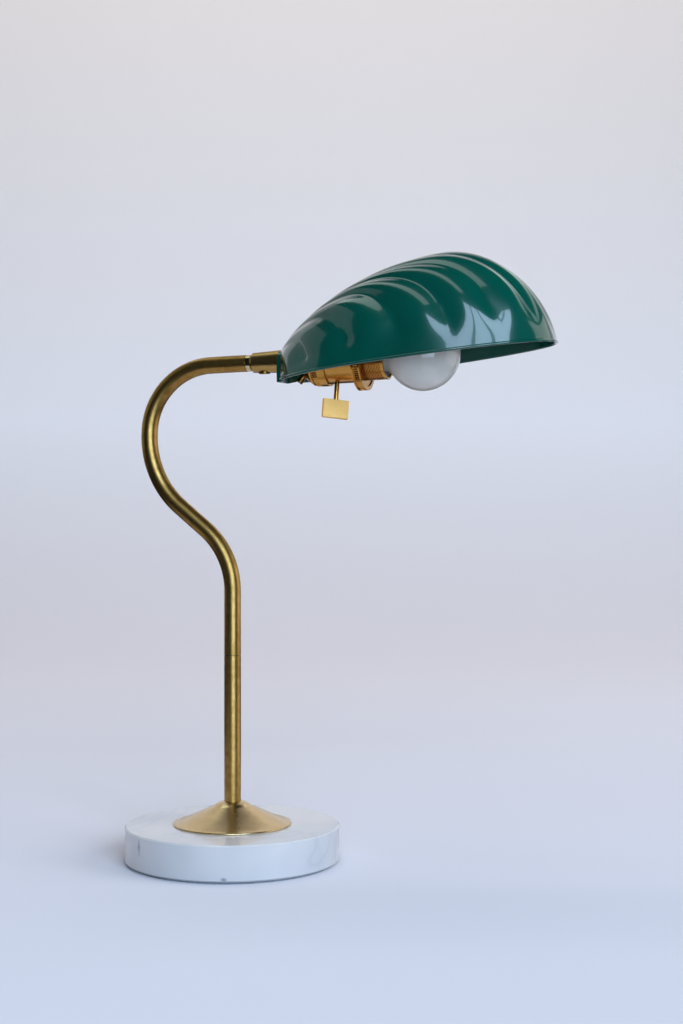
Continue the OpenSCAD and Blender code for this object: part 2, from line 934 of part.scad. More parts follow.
module thread_tube() {
    inside = shell_end - brass_t - fit;
    color("#c38f3c")
        on_head()
            difference() {
                union() {
                    translate([0, 0, inside - 1.5])
                        cylinder(r = shell_r - brass_t - fit, h = 1.5);
                    translate([0, 0, inside])
                        cylinder(r = thread_r, h = 2);
                    translate([0, 0, inside + 2 - eps])
                        threaded_tube(thread_r, thread_depth, thread_pitch, holder_r,
                            thread_end - inside - 3.4 + 2 * eps);
                    translate([0, 0, thread_end - 1.4])
                        cylinder(r = thread_r, h = 1.4);
                }
                translate([0, 0, inside - 2])
                    cylinder(r = holder_r + fit, h = thread_end - inside + 3);
            }
}

module shade_ring() {
    groove = 0.9;
    color("#c38f3c")
        on_head(shell_end + fit)
            difference() {
                union() {
                    cylinder(r = ring_r, h = 1);
                    cylinder(r = ring_r - 1.2, h = ring_w - 1);
                    translate([0, 0, 1 + groove])
                        knurled(ring_r - 0.25, 0.45, 90, ring_w - 3.2);
                    translate([0, 0, ring_w - 1.4])
                        cylinder(r = ring_r - 0.1, h = 1.2);
                }
                translate([0, 0, -eps])
                    cylinder(r = thread_r + fit, h = ring_w + 1);
                translate([0, 0, ring_w - 1])
                    cylinder(r = ring_r - 3, h = 2);
            }
}

// ---------- bulb ----------

module bulb_glass() {
    neck_x = bulb_cap_x + bulb_cap_len - 6;
    color("#dfe2e4")
        on_head()
            difference() {
                union() {
                    translate([0, 0, globe_x])
                        sphere(r = globe_r);
                    translate([0, 0, neck_x])
                        cylinder(r = bulb_neck_r, h = globe_x - neck_x);
                }
                translate([0, 0, globe_x])
                    sphere(r = globe_r - glass_t);
                translate([0, 0, neck_x - 1])
                    cylinder(r = bulb_neck_r - glass_t, h = globe_x - neck_x);
            }
}

module bulb_cap() {
    color("#b8b8b4")
        on_head(bulb_cap_x)
            threaded_tube(bulb_thread_r, 0.35, bulb_pitch, bulb_neck_r + fit, bulb_cap_len);
}

module bulb_insulator() {
    color("#1d1d20")
        on_head(tip_x + 1.5)
            cylinder(r1 = 4.5, r2 = bulb_thread_r - 0.45, h = bulb_cap_x - tip_x - 1.5 - eps);
}

module bulb_tip() {
    color("#a9a9a5")
        on_head(tip_x)
            cylinder(r1 = 3, r2 = 4.2, h = 1.5);
}

module bulb_stem() {
    color("#cfe0e2")
        on_head(bulb_cap_x) {
            cylinder(r = 7, h = 1.5);
            cylinder(r = 2.5, h = globe_x - bulb_cap_x - 8);
        }
}

module filament() {
    loop_r = 9;
    wire_r = 0.4;
    lead_r = 0.3;
    start = globe_x - 8;
    wire_from = 1;
    reach = norm([loop_r, globe_x - start]);
    color("#8a8a8a")
        on_head() {
            translate([0, 0, globe_x])
                rotate([0, 0, -135])
                    rotate_extrude(angle = 270)
                        translate([loop_r, 0])
                            circle(r = wire_r);
            for (side = [-1, 1])
                translate([0, 0, start])
                    rotate([0, 0, side * 125])
                        rotate([0, atan2(loop_r, globe_x - start), 0])
                            translate([0, 0, wire_from])
                                cylinder(r = lead_r, h = reach - wire_from);
        }
}

module head_harness() {
    color("#d8c9a0")
        on_head(neck_bar_end + loose)
            cylinder(r = cord_r, h = cap_x + harness_out - neck_bar_end - loose);
}

// ---------- key ----------

module key_shaft() {
    color("#b98a3a")
        on_key()
            translate([0, 0, -rotor_len / 2])
                cylinder(r = key_r, h = shaft_out + shaft_in_plate + rotor_len / 2);
}

module key_plate() {
    edge = 0.5;
    color("#e3b25c")
        on_key()
            rotate([0, 0, -key_turn])
                translate([0, 0, shaft_out])
                    difference() {
                        intersection() {
                            translate([-plate_w / 2, -plate_t / 2, 0])
                                cube([plate_w, plate_t, plate_h]);
                            translate([0, 0, plate_h / 2])
                                rotate([90, 0, 0])
                                    bevelled(plate_w, plate_h, plate_t, edge);
                        }
                        translate([0, 0, -eps])
                            cylinder(r = key_r + fit, h = shaft_in_plate + fit);
                    }
}

// A flat block whose two large faces have bevelled edges
module bevelled(w, h, t, edge) {
    for (side = [0, 1])
        mirror([0, 0, side])
            translate([0, 0, -eps])
                linear_extrude(t / 2 - edge + eps)
                    square([w, h], center = true);
    for (side = [0, 1])
        mirror([0, 0, side])
            translate([0, 0, t / 2 - edge - eps])
                linear_extrude(edge + eps)
                    square([w - 2 * edge, h - 2 * edge], center = true);
}

module switch_rotor() {
    color("#5b4a36")
        on_key()
            translate([0, 0, -rotor_len / 2])
                difference() {
                    intersection() {
                        cylinder(r = rotor_r, h = rotor_len);
                        translate([-rotor_r, -rotor_r * 0.7, 0])
                            cube([2 * rotor_r, rotor_r * 1.4, rotor_len]);
                    }
                    translate([0, 0, -eps])
                        cylinder(r = key_r + fit, h = rotor_len + 2 * eps);
                }
}

felt_pad();
marble_base();
cord_bushing();
base_washer();
lock_washer();
base_nut();
threaded_rod();
base_cone();
stem_tube();
swivel_spigot();
swivel_washer();
swivel_spring();
swivel_clip();
terminal_block();
base_harness();
arm_tube();
arm_bushing();
neck_spigot();
neck_washer();
arm_harness();
shade_sleeve();
sleeve_screw();
head_nipple();
shade();
shade_washer();
shade_nut();
socket_cap();
cap_screw();
knurled_collar();
socket_shell();
shell_liner();
switch_body();
terminal_screws();
lead_wires();
lamp_insulator();
screw_shell();
centre_contact();
thread_tube();
shade_ring();
bulb_glass();
bulb_cap();
bulb_insulator();
bulb_tip();
bulb_stem();
filament();
head_harness();
key_shaft();
key_plate();
switch_rotor();
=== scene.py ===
import bpy, bmesh, json, math
from mathutils import Matrix, Vector


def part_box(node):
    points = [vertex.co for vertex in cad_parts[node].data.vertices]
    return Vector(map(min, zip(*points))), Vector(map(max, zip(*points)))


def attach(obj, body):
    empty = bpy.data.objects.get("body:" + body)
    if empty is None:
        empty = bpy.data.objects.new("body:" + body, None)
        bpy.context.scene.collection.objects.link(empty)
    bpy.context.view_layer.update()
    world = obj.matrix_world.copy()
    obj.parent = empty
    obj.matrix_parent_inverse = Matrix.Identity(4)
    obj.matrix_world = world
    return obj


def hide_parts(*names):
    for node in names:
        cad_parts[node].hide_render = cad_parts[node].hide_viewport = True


# Desk lamp on a marble base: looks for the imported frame. Metres, Z up, X towards the shade's tip.

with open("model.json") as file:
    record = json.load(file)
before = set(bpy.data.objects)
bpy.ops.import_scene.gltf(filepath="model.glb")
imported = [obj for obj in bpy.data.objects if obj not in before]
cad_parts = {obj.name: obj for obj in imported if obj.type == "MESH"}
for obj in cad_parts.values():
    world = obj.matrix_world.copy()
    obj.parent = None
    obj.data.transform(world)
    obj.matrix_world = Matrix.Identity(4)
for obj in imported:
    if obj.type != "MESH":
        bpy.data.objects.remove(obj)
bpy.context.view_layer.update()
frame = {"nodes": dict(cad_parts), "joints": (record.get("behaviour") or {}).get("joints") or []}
nodes = frame["nodes"]
joints = {j["name"]: j for j in frame["joints"]}
mm = 0.001
print("frame loaded:", len(nodes), "nodes")


# small helpers

def hexColor(code, alpha=1.0):
    # sRGB hex to the linear colour that the nodes expect
    parts = [int(code[i:i + 2], 16) / 255 for i in (1, 3, 5)]
    return tuple(c / 12.92 if c <= 0.04045 else ((c + 0.055) / 1.055) ** 2.4 for c in parts) + (alpha,)


def newMaterial(name):
    mat = bpy.data.materials.new(name)
    mat.use_nodes = True
    mat.node_tree.nodes.clear()
    return mat


def addNode(mat, kind, settings=None, links=None):
    # one node: settings are inputs by name or properties, links are {input: (node, output)}
    node = mat.node_tree.nodes.new("ShaderNode" + kind)
    for key, value in (settings or {}).items():
        if key in node.inputs:
            node.inputs[key].default_value = value
        else:
            setattr(node, key, value)
    for key, (source, output) in (links or {}).items():
        mat.node_tree.links.new(source.outputs[output], node.inputs[key])
    return node


def setRamp(node, stops):
    # stops are (place, colour) from low to high
    ramp = node.color_ramp
    while len(ramp.elements) < len(stops):
        ramp.elements.new(0.5)
    for element, (place, color) in zip(ramp.elements, stops):
        element.position = place
        element.color = color


def setMaterial(obj, mat):
    obj.data.materials.clear()
    obj.data.materials.append(mat)
    for poly in obj.data.polygons:
        poly.material_index = 0


def deselectAll():
    if bpy.context.object and bpy.context.object.mode != "OBJECT":
        bpy.ops.object.mode_set(mode="OBJECT")
    bpy.ops.object.select_all(action="DESELECT")


def pick(obj):
    deselectAll()
    obj.select_set(True)
    bpy.context.view_layer.objects.active = obj


def applyModifiers(obj):
    pick(obj)
    for mod in list(obj.modifiers):
        bpy.ops.object.modifier_apply(modifier=mod.name)


def smooth(obj, degrees=35):
    pick(obj)
    bpy.ops.object.shade_smooth_by_angle(angle=math.radians(degrees))


def place(obj, matrix):
    # the place goes into the mesh, and the object stays at the origin
    obj.data.transform(matrix @ obj.matrix_world)
    obj.matrix_world = Matrix.Identity(4)


def finishPiece(obj, name, body, mat, replaced=()):
    obj.name = name
    obj.data.name = name
    setMaterial(obj, mat)
    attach(obj, body)
    if replaced:
        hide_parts(*replaced)


# camera and stage

view = {
    "lens": 56.25,
    "at": (0.4273, -1.1372, 0.2641),
    "azimuth": 16.7,            # degrees the camera stands round from the lamp's side
}
cameraData = bpy.data.cameras.new("camera")
cameraData.lens = view["lens"]
cameraData.sensor_width = 36
cameraObject = bpy.data.objects.new("camera", cameraData)
bpy.context.scene.collection.objects.link(cameraObject)
cameraObject.location = view["at"]
cameraObject.rotation_euler = (math.radians(90), 0, math.radians(view["azimuth"]))
bpy.context.scene.camera = cameraObject
bpy.context.scene.view_settings.view_transform = "Standard"

stage = {
    "width": 9.0,
    "front": -3.0,              # towards the camera
    "back": 1.5,                # where the sweep starts to rise
    "sweep": 1.5,
    "height": 4.0,
    "near": 0.84,               # side of the paper that shows in reflections
    # floor and wall colours of the paper; the change between them is painted light
    "floorColor": "#d6d4d9",
    "wallLow": "#e9edf4",
    "wallHigh": "#f3f0ee",
}


def makeStage():
    # matt seamless paper: no shine; its colour is painted paler and warmer as it rises, a painted light
    # gradient up the sweep
    paper = newMaterial("seamless paper, matt")
    coords = addNode(paper, "TexCoord")
    split = addNode(paper, "SeparateXYZ", links={"Vector": (coords, "Object")})
    rise = addNode(paper, "MapRange", {"From Min": 0.0, "From Max": 1.6},
                   {"Value": (split, "Z")})
    # painted light: the ramp makes the paper brighter and warmer with height
    tint = addNode(paper, "ValToRGB", links={"Fac": (rise, "Result")})
    setRamp(tint, [(0.0, hexColor(stage["floorColor"])), (0.3, hexColor(stage["wallLow"])),
                   (1.0, hexColor(stage["wallHigh"]))])
    skin = addNode(paper, "BsdfDiffuse", {"Roughness": 0.9}, {"Color": (tint, "Color")})
    addNode(paper, "OutputMaterial", links={"Surface": (skin, "BSDF")})

    deselectAll()
    bpy.ops.mesh.primitive_plane_add(size=1)
    floor = bpy.context.object
    floor.name = "seamlessPaper"
    floor.scale = (stage["width"], stage["back"] - stage["front"], 1)
    floor.location = (0, (stage["back"] + stage["front"]) / 2, 0)
    bpy.ops.object.transform_apply(location=True, rotation=True, scale=True)
    bpy.ops.object.mode_set(mode="EDIT")
    bpy.ops.mesh.select_all(action="DESELECT")
    bpy.ops.object.mode_set(mode="OBJECT")
    for edge in floor.data.edges:
        edge.select = all(abs(floor.data.vertices[i].co.y - stage["back"]) < 1e-4
                          for i in edge.vertices)
    bpy.ops.object.mode_set(mode="EDIT")
    bpy.ops.mesh.select_mode(type="EDGE")
    steps = 14
    for i in range(steps):
        a, b = (math.pi / 2 * (i + k) / steps for k in (0, 1))
        bpy.ops.mesh.extrude_region_move(TRANSFORM_OT_translate={"value": (
            0, stage["sweep"] * (math.sin(b) - math.sin(a)),
            stage["sweep"] * (math.cos(a) - math.cos(b)))})
    bpy.ops.mesh.extrude_region_move(TRANSFORM_OT_translate={"value": (0, 0, stage["height"])})
    bpy.ops.object.mode_set(mode="OBJECT")
    turn = Matrix.Rotation(math.radians(view["azimuth"]), 4, "Z")
    floor.data.transform(turn)
    for poly in floor.data.polygons:
        poly.use_smooth = True
    setMaterial(floor, paper)

    floor.data.transform(Matrix.Translation((0, 0, -0.0003)))

    # gloss sees the wall only, as the table is small: a copy of the sweep stands just in front
    pick(floor)
    bpy.ops.object.duplicate()
    wall = bpy.context.object
    wall.name = "seamlessWall"
    for poly in wall.data.polygons:
        poly.select = poly.center.z < 1e-4
    bpy.ops.object.mode_set(mode="EDIT")
    bpy.ops.mesh.select_mode(type="FACE")
    bpy.ops.mesh.delete(type="FACE")
    bpy.ops.object.mode_set(mode="OBJECT")
    wall.data.transform(turn @ Matrix.Translation((0, -0.004, 0.004)) @ turn.inverted())
    wall.visible_camera = False
    wall.visible_diffuse = False
    wall.visible_shadow = False
    floor.visible_glossy = False

    # paper near the lamp, which brass and marble do mirror
    deselectAll()
    bpy.ops.mesh.primitive_plane_add(size=stage["near"])
    near = bpy.context.object
    near.name = "paperNear"
    bpy.ops.object.mode_set(mode="EDIT")
    bpy.ops.mesh.subdivide(number_cuts=4)
    bpy.ops.object.mode_set(mode="OBJECT")
    setMaterial(near, paper)


makeStage()
print("stage ready")


# light

room = {
    "centre": (0.12, 0, 0.38),
    # name: (azimuth, elevation, distance, width, height, azimuth of the long side,
    #        brightness, colour, seen by)
    "lights": {
        "windowPaneA": (-76, 8, 2.3, 0.46, 2.1, 14, 6.0, "#bad6f4", "all"),
        "windowPaneB": (-62, 8, 2.3, 0.46, 2.1, 28, 6.4, "#bad6f4", "all"),
        "windowPaneC": (-48, 8, 2.3, 0.46, 2.1, 42, 7.0, "#bad6f4", "all"),
        "ceiling": (60, 84, 2.4, 2.4, 1.7, 150, 1.0, "#fdf4ea", "diffuse"),
        "ceilingStrip": (-150, 72, 2.2, 4.0, 0.5, -54, 1.5, "#e4f0ea", "gloss"),
        "backStrip": (50, 40, 2.2, 2.4, 0.3, 140, 1.2, "#e4f0ea", "gloss"),
        "leftWall": (-178, 20, 2.2, 2.4, 2.0, 92, 0.36, "#dfe9e6", "gloss"),
        "rightFill": (0, 22, 2.2, 1.9, 1.5, 90, 3.0, "#eef2fa", "diffuse"),
        "rightWall": (24, 4, 2.2, 2.0, 2.0, 114, 1.15, "#f4f2ee", "gloss"),
    },
    # washes the paper behind the lamp from above
    "wash": {"at": (-0.2, 0.7, 2.7), "aim": (-0.75, 2.6, 0.75), "size": (3.4, 0.6), "power": 38,
             "color": "#fff7f1"},
    "ambient": "#e4e9f2",
    "ambientStrength": 0.21,
}


def makeLights():
    # brightness is the light's own, so that its power grows with its area
    centre = Vector(room["centre"])
    for name, values in room["lights"].items():
        azimuth, elevation, far, wide, high, side, bright, color, seen = values
        a, e, s = (math.radians(v) for v in (azimuth, elevation, side))
        out = Vector((math.cos(a) * math.cos(e), math.sin(a) * math.cos(e), math.sin(e)))
        across = Vector((math.cos(s), math.sin(s), 0))
        across = (across - out * across.dot(out)).normalized()
        turn = Matrix((across, out.cross(across), out)).transposed()
        addPanel(name, centre + out * far, turn.to_euler(), wide, high,
                 bright * math.pi * wide * high, color, seen)
    wash = room["wash"]
    aim = Vector(wash["aim"]) - Vector(wash["at"])
    addPanel("wallWash", wash["at"], aim.to_track_quat("-Z", "Y").to_euler(), wash["size"][0],
             wash["size"][1], wash["power"], wash["color"], "diffuse")
    world = bpy.data.worlds.new("room")
    bpy.context.scene.world = world
    world.use_nodes = True
    sky = world.node_tree.nodes["Background"]
    sky.inputs["Color"].default_value = hexColor(room["ambient"])
    sky.inputs["Strength"].default_value = room["ambientStrength"]
    world.cycles_visibility.glossy = False      # gloss sees only the windows, ceiling and walls


def addPanel(name, at, turn, wide, high, power, color, seen):
    lamp = bpy.data.lights.new(name, "AREA")
    lamp.shape = "RECTANGLE"
    lamp.size = wide
    lamp.size_y = high
    lamp.energy = power
    lamp.color = hexColor(color)[:3]
    obj = bpy.data.objects.new(name, lamp)
    bpy.context.scene.collection.objects.link(obj)
    obj.location = at
    obj.rotation_euler = turn
    obj.visible_glossy = seen != "diffuse"
    obj.visible_diffuse = seen != "gloss"


makeLights()
print("lights ready")


# metals

def brassMaterial(name, base, dark, rough, roughDark, patchMm, amount, grain=None):
    # polished or drawn brass with tarnish: patches of a darker, rougher skin over bright metal.
    # grain is (size across mm, direction stretch) for fine tool marks
    mat = newMaterial(name)
    coords = addNode(mat, "TexCoord")
    patches = addNode(mat, "TexNoise", {"Scale": 1000 / patchMm, "Detail": 6.0, "Roughness": 0.6},
                      {"Vector": (coords, "Object")})
    freckles = addNode(mat, "TexNoise", {"Scale": 1000 / (patchMm * 0.22), "Detail": 3.0},
                       {"Vector": (coords, "Object")})
    both = addNode(mat, "Math", {"operation": "ADD"})
    mat.node_tree.links.new(patches.outputs["Fac"], both.inputs[0])
    mat.node_tree.links.new(freckles.outputs["Fac"], both.inputs[1])
    mask = addNode(mat, "MapRange", {"From Min": 0.95 - amount, "From Max": 1.35 - amount * 0.4},
                   {"Value": (both, "Value")})
    tint = addNode(mat, "ValToRGB", links={"Fac": (mask, "Result")})
    setRamp(tint, [(0.0, hexColor(dark)), (1.0, hexColor(base))])
    shine = addNode(mat, "MapRange", {"To Min": roughDark, "To Max": rough},
                    {"Value": (mask, "Result")})
    skin = addNode(mat, "BsdfPrincipled", {"Metallic": 1.0},
                   {"Base Color": (tint, "Color"), "Roughness": (shine, "Result")})
    height, depth = freckles, 0.02
    if grain:
        stretch = addNode(mat, "Mapping", {"Scale": grain[1]}, {"Vector": (coords, "Object")})
        height = addNode(mat, "TexNoise", {"Scale": 1000 / grain[0], "Detail": 2.0},
                         {"Vector": (stretch, "Vector")})
        depth = 0.06
    bump = addNode(mat, "Bump", {"Strength": depth * 4, "Distance": 0.00008},
                   {"Height": (height, "Fac")})
    mat.node_tree.links.new(bump.outputs["Normal"], skin.inputs["Normal"])
    addNode(mat, "OutputMaterial", links={"Surface": (skin, "BSDF")})
    return mat


# unlacquered tube, handled and aged: brown and olive patches over worn gold
agedTube = brassMaterial("brass tube, aged unlacquered", "#c09a58", "#9a7436", 0.32, 0.4, 22, 0.35)
# turned on a lathe and left bare: brighter, with rings too fine to see
turnedBrass = brassMaterial("brass, turned", "#c6a464", "#ac8a4c", 0.3, 0.36, 30, 0.4,
                            (0.5, (4, 0.3, 0.3)))
# the small ring at the neck is turned brass painted paler than the rest, a painted highlight for its
# mirror-like gleam
paintedHighlightBrass = brassMaterial("brass, turned, painted highlight", "#ece0b6", "#cdbb86", 0.18, 0.26, 6, 0.4)
# spun sheet under thin lacquer: pale, satin, with a soft broad gleam
spunBrass = brassMaterial("brass sheet, spun and lacquered", "#e8cd9c", "#d6b984", 0.25, 0.29, 45, 0.4)
# drawn shells of a lamp holder: warm orange gold, satin
drawnBrass = brassMaterial("brass sheet, drawn lamp holder", "#dca453", "#cb9446", 0.22, 0.28, 25, 0.4)
# flat faces rubbed on paper: pale and evenly lit
rubbedBrass = brassMaterial("brass, rubbed flat", "#ffc878", "#fbbd66", 0.44, 0.52, 8, 0.45,
                            (0.35, (0.25, 0.25, 2.0)))
# screw heads in brown brass, painted darker as painted shade for their shadowed undersides
shadedBrownBrass = brassMaterial("brass, brown screw, painted shade", "#b0803c", "#6b4a20", 0.28, 0.4, 3, 0.1)
# machined pieces inside, still bright
brightBrass = brassMaterial("brass, machined", "#e0c47c", "#c7a557", 0.22, 0.3, 8, 0.4)


def plainMaterial(name, color, dark, rough, grainMm, metallic=0.0, bumpMm=0.02, coat=0.0):
    # one stuff with slight mottling and grain
    mat = newMaterial(name)
    coords = addNode(mat, "TexCoord")
    mottle = addNode(mat, "TexNoise", {"Scale": 1000 / (grainMm * 6), "Detail": 4.0},
                     {"Vector": (coords, "Object")})
    tint = addNode(mat, "ValToRGB", links={"Fac": (mottle, "Fac")})
    setRamp(tint, [(0.3, hexColor(dark)), (0.7, hexColor(color))])
    grain = addNode(mat, "TexNoise", {"Scale": 1000 / grainMm, "Detail": 2.0},
                    {"Vector": (coords, "Object")})
    shine = addNode(mat, "MapRange", {"To Min": rough * 0.85, "To Max": min(1.0, rough * 1.15)},
                    {"Value": (mottle, "Fac")})
    bump = addNode(mat, "Bump", {"Strength": 0.5, "Distance": bumpMm * mm},
                   {"Height": (grain, "Fac")})
    skin = addNode(mat, "BsdfPrincipled", {"Metallic": metallic, "Coat Weight": coat},
                   {"Base Color": (tint, "Color"), "Roughness": (shine, "Result"),
                    "Normal": (bump, "Normal")})
    addNode(mat, "OutputMaterial", links={"Surface": (skin, "BSDF")})
    return mat


# zinc plated steel: cool grey, faintly spangled
zincSteel = plainMaterial("steel, zinc plated", "#b4b7ba", "#9da1a5", 0.35, 0.8, metallic=1.0)
# pressed wool felt: dull, with a nap of short fibres
woolFelt = plainMaterial("wool felt, pressed", "#a9afb8", "#8f96a0", 0.95, 0.4, bumpMm=0.3)
# phenolic moulding: dark brown, nearly matt
phenolic = plainMaterial("phenolic, moulded", "#2c221b", "#1f1813", 0.45, 0.5)
# nylon moulding of a terminal block
whiteNylon = plainMaterial("nylon, moulded", "#e3e0d6", "#d3cfc2", 0.5, 0.5)
# switch rotor, brown phenolic
brownPhenolic = plainMaterial("phenolic, brown moulded", "#5d4a37", "#463628", 0.45, 0.5)
# PVC jacket of a lamp cord: smooth, slightly waxy
cordPvc = plainMaterial("PVC cord jacket, extruded", "#d5c69c", "#c6b588", 0.4, 0.6)
# insulation of the two thin wires
wirePvc = plainMaterial("PVC wire insulation, extruded", "#2a2a2b", "#1b1b1c", 0.35, 0.4)
# vulcanised fibre liner: tan paper board
fibreBoard = plainMaterial("vulcanised fibre, rolled", "#c3ab7c", "#ab9265", 0.75, 0.5, bumpMm=0.1)
# glazed porcelain lamp holder: grey white with a wet shine
porcelain = plainMaterial("porcelain, glazed", "#c7cacd", "#b8bcc0", 0.15, 1.5)
# pressed aluminium bulb cap
capAluminium = plainMaterial("aluminium, pressed cap", "#c9c9c6", "#aeaeaa", 0.32, 0.6, metallic=1.0)
# black vitrite glass at the bulb's foot
vitrite = plainMaterial("vitrite glass, moulded black", "#15151a", "#0c0c10", 0.12, 1.0)
# tin solder blob
tinSolder = plainMaterial("tin solder, cooled", "#b5b5b2", "#949491", 0.35, 0.7, metallic=1.0)
# tungsten wire: dark grey
tungsten = plainMaterial("tungsten wire, drawn", "#6a6a6c", "#4c4c4e", 0.4, 0.3, metallic=1.0)
# rubber washers at the turning joints
darkWasher = plainMaterial("fibre washer, dark", "#332e28", "#241f1b", 0.7, 0.4)


def makeEnamel():
    # baked enamel on pressed steel: deep green under a clear gloss, with a faint orange peel
    # that makes reflections swim, and a few dust nibs
    mat = newMaterial("steel, baked gloss enamel")
    coords = addNode(mat, "TexCoord")
    drift = addNode(mat, "TexNoise", {"Scale": 1000 / 60, "Detail": 2.0},
                    {"Vector": (coords, "Object")})
    tint = addNode(mat, "ValToRGB", links={"Fac": (drift, "Fac")})
    setRamp(tint, [(0.3, hexColor("#00453a")), (0.7, hexColor("#005043"))])
    peel = addNode(mat, "TexNoise", {"Scale": 1000 / 3.5, "Detail": 1.0},
                   {"Vector": (coords, "Object")})
    nibs = addNode(mat, "TexVoronoi", {"Scale": 1000 / 11, "Randomness": 1.0},
                   {"Vector": (coords, "Object")})
    nib = addNode(mat, "MapRange", {"From Min": 0.0, "From Max": 0.05, "To Min": 1.0, "To Max": 0.0},
                  {"Value": (nibs, "Distance")})
    peelBump = addNode(mat, "Bump", {"Strength": 0.35, "Distance": 0.00003},
                       {"Height": (peel, "Fac")})
    bump = addNode(mat, "Bump", {"Strength": 0.3, "Distance": 0.00006},
                   {"Height": (nib, "Result"), "Normal": (peelBump, "Normal")})
    skin = addNode(mat, "BsdfPrincipled", {"Roughness": 0.2, "IOR": 1.5, "Coat Weight": 1.0,
                                           "Coat IOR": 1.5, "Coat Roughness": 0.04},
                   {"Base Color": (tint, "Color"), "Normal": (bump, "Normal")})
    addNode(mat, "OutputMaterial", links={"Surface": (skin, "BSDF")})
    return mat


marks = {
    # (place, reach each way, colour) in metres
    "spots": [((-0.0480, -0.0652, 0.0200), (0.0062, 0.006, 0.0150), "#98a2bd"),
              ((0.0225, -0.0778, 0.0040), (0.0050, 0.005, 0.0034), "#a9b2c2")],
}


def makeMarble():
    # white marble, honed then polished: cloudy calcite with thin grey veins and a fine grain
    mat = newMaterial("marble, polished white")
    coords = addNode(mat, "TexCoord")
    turned = addNode(mat, "Mapping", {"Rotation": (0.5, 0.35, 0.9), "Location": (0.013, 0.02, 0.0)},
                     {"Vector": (coords, "Object")})
    warp = addNode(mat, "TexNoise", {"Scale": 1000 / 90, "Detail": 2.5, "Roughness": 0.5,
                                     "Distortion": 0.9}, {"Vector": (turned, "Vector")})
    vein = addNode(mat, "ValToRGB", links={"Fac": (warp, "Fac")})
    setRamp(vein, [(0.33, hexColor("#dfe0e2")), (0.38, hexColor("#dadce0")),
                   (0.40, hexColor("#d3d6dc")), (0.42, hexColor("#dbdde0")),
                   (0.5, hexColor("#e0e1e2"))])
    cloud = addNode(mat, "TexNoise", {"Scale": 1000 / 70, "Detail": 2.0, "Roughness": 0.5},
                    {"Vector": (turned, "Vector")})
    clouds = addNode(mat, "ValToRGB", links={"Fac": (cloud, "Fac")})
    setRamp(clouds, [(0.3, hexColor("#e2e5ea")), (0.65, hexColor("#f8f8f9"))])
    mixed = addNode(mat, "Mix", {"data_type": "RGBA", "blend_type": "MULTIPLY"})
    mixed.inputs[0].default_value = 0.8
    mat.node_tree.links.new(vein.outputs["Color"], mixed.inputs[6])
    mat.node_tree.links.new(clouds.outputs["Color"], mixed.inputs[7])
    # one slate grey streak runs down the left of the side, and a small spot sits near the felt
    grained = mixed
    for spot, reach, color in marks["spots"]:
        offset = addNode(mat, "Mapping", {"Location": tuple(-c / r for c, r in zip(spot, reach)),
                                          "Scale": tuple(1 / r for r in reach)},
                         {"Vector": (coords, "Object")})
        wobble = addNode(mat, "TexNoise", {"Scale": 1000 / 9, "Detail": 3.0},
                         {"Vector": (coords, "Object")})
        away = addNode(mat, "VectorMath", {"operation": "LENGTH"}, {"Vector": (offset, "Vector")})
        ragged = addNode(mat, "Math", {"operation": "ADD"})
        mat.node_tree.links.new(away.outputs["Value"], ragged.inputs[0])
        mat.node_tree.links.new(wobble.outputs["Fac"], ragged.inputs[1])
        stain = addNode(mat, "ValToRGB", links={"Fac": (ragged, "Value")})
        setRamp(stain, [(0.55, hexColor(color)), (1.0, hexColor("#ffffff"))])
        stained = addNode(mat, "Mix", {"data_type": "RGBA", "blend_type": "MULTIPLY"})
        stained.inputs[0].default_value = 1.0
        mat.node_tree.links.new(grained.outputs[2], stained.inputs[6])
        mat.node_tree.links.new(stain.outputs["Color"], stained.inputs[7])
        grained = stained
    shine = addNode(mat, "MapRange", {"To Min": 0.07, "To Max": 0.12}, {"Value": (cloud, "Fac")})
    grains = addNode(mat, "TexNoise", {"Scale": 1000 / 1.6, "Detail": 2.0},
                     {"Vector": (coords, "Object")})
    bump = addNode(mat, "Bump", {"Strength": 0.1, "Distance": 0.00001},
                   {"Height": (grains, "Fac")})
    skin = addNode(mat, "BsdfPrincipled", {"IOR": 1.49, "Subsurface Weight": 0.15,
                                           "Subsurface Radius": (0.004, 0.004, 0.004)},
                   {"Roughness": (shine, "Result"), "Normal": (bump, "Normal")})
    mat.node_tree.links.new(grained.outputs[2], skin.inputs["Base Color"])
    addNode(mat, "OutputMaterial", links={"Surface": (skin, "BSDF")})
    return mat


def makeOpal():
    # opal glass globe: milky white inside, glossy outside, a little uneven in the milk
    mat = newMaterial("opal glass, blown")
    coords = addNode(mat, "TexCoord")
    milk = addNode(mat, "TexNoise", {"Scale": 1000 / 20, "Detail": 2.0},
                   {"Vector": (coords, "Object")})
    tint = addNode(mat, "ValToRGB", links={"Fac": (milk, "Fac")})
    setRamp(tint, [(0.3, hexColor("#c6c5be")), (0.7, hexColor("#d2d1cb"))])
    skin = addNode(mat, "BsdfPrincipled", {"Roughness": 0.12, "IOR": 1.5, "Coat Weight": 0.3,
                                           "Coat Roughness": 0.04,
                                           "Subsurface Weight": 0.25,
                                           "Subsurface Radius": (0.004, 0.004, 0.004)},
                   {"Base Color": (tint, "Color")})
    addNode(mat, "OutputMaterial", links={"Surface": (skin, "BSDF")})
    return mat


